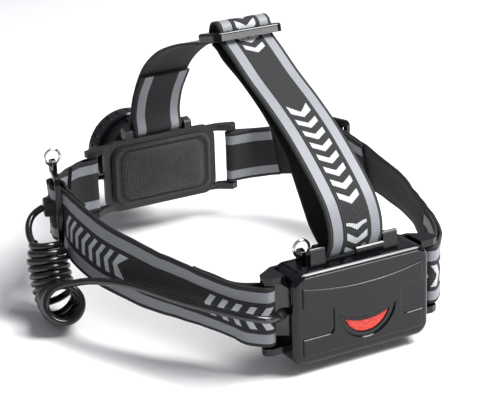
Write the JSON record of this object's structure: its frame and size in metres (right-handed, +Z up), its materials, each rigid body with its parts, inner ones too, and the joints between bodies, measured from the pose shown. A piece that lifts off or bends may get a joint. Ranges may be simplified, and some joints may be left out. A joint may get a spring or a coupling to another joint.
{
  "type": "strap headlamp",
  "caption": "Strap headlamp: a tilting lamp on the brow, a battery pack with a red rear light, an elastic headband and crown strap, and a curly cord.",
  "frame": {"origin": "middle of the headband loop, where the middle of the wearer's head is", "axes": "+Z up, -Y forwards along the lamp's beam, +Y towards the battery pack, +X to the wearer's left"},
  "size_m": [0.2079, 0.2568, 0.1411],
  "materials": {
    "black_gloss": "polished black ABS",
    "black_matte": "fine textured black nylon",
    "webbing": "ribbed elastic webbing with two grey reflective stripes",
    "webbing_plain": "plain ribbed black elastic webbing",
    "foam": "black foam pad with a knitted face",
    "chrome_wire": "nickel-plated wire",
    "red_lens": "clear red moulded lens",
    "lens_clear": "clear lens",
    "mirror_cup": "metallised reflector",
    "board": "green solder mask",
    "led_yellow": "phosphor over silicone dome",
    "aluminium_plain": "bead blasted",
    "cell_can": "shrink sleeve over a steel can",
    "steel": "plain steel",
    "spring_plate": "nickel-plated spring steel",
    "seal_rubber": "soft silicone rubber",
    "button_rubber": "soft button cap",
    "cord_jacket": "glossy black polyurethane jacket",
    "gland": "moulded strain relief",
    "lamp_dark": "black anodised and finned"
  },
  "bodies": {
    "root": {"battery_case": "black_gloss", "cover_hinge_pin": "steel", "cell_1": "cell_can", "cell_2": "cell_can", "cell_3": "cell_can", "contact_board": "board", "contact_springs": "spring_plate", "contact_plates": "spring_plate", "control_board": "board", "rear_bracket": "black_gloss", "case_screws": "steel", "rear_pad": "foam", "rear_cable_gland": "gland", "front_bracket": "black_matte", "front_pad": "foam", "tilt_pin": "steel", "front_cable_gland": "gland", "headband_rear_left": "webbing", "headband_rear_right": "webbing", "headband_front_left": "webbing", "headband_front_right": "webbing", "side_slider_left": "black_gloss", "side_slider_right": "black_gloss", "cord_guide": "black_matte", "crown_strap_outer": "webbing", "crown_strap_inner": "webbing_plain", "crown_strap_front": "webbing", "crown_slider": "black_gloss", "cord_pack_lead": "cord_jacket", "cord_coil": "cord_jacket", "cord_upper_lead": "cord_jacket", "lamp_lead": "cord_jacket"},
    "cover": {"battery_cover": "black_gloss", "rear_light_bezel": "black_gloss", "rear_light_lens": "red_lens", "rear_light_board": "board", "cover_seal": "seal_rubber"},
    "lamp": {"lamp_shell": "lamp_dark", "button_switch": "black_matte", "lamp_bezel": "black_gloss", "lamp_lens": "lens_clear", "lens_seal": "seal_rubber", "reflector": "mirror_cup", "led_board": "board", "led_emitter": "led_yellow", "heat_spreader": "aluminium_plain", "driver_board": "board"},
    "power_button": {"power_button": "button_rubber"},
    "rear_ring": {"rear_ring": "chrome_wire"},
    "front_ring": {"front_ring": "chrome_wire"}
  },
  "joints": [
    {"name": "cover_hinge", "type": "hinge", "parent": "root", "child": "cover", "pos_m": [0, 0.1014, -0.03935], "axis": [-1, 0, 0], "range_deg": [0, 105]},
    {"name": "lamp_tilt", "type": "hinge", "parent": "root", "child": "lamp", "pos_m": [0, -0.106, -0.005], "axis": [1, 0, 0], "range_deg": [-8, 45]},
    {"name": "power_press", "type": "slide", "parent": "lamp", "child": "power_button", "axis": [0, 0, -1], "range_m": [0, 0.0012], "stiffness_N_per_m": 1500},
    {"name": "rear_ring_swing", "type": "hinge", "parent": "root", "child": "rear_ring", "pos_m": [0.0234, 0.0954, 0.0104], "axis": [-1, 0, 0], "range_deg": [-15, 42]},
    {"name": "front_ring_swing", "type": "hinge", "parent": "root", "child": "front_ring", "pos_m": [0.08293, -0.05464, 0.025], "axis": [1, 0, 0], "range_deg": [-60, 60]}
  ]
}
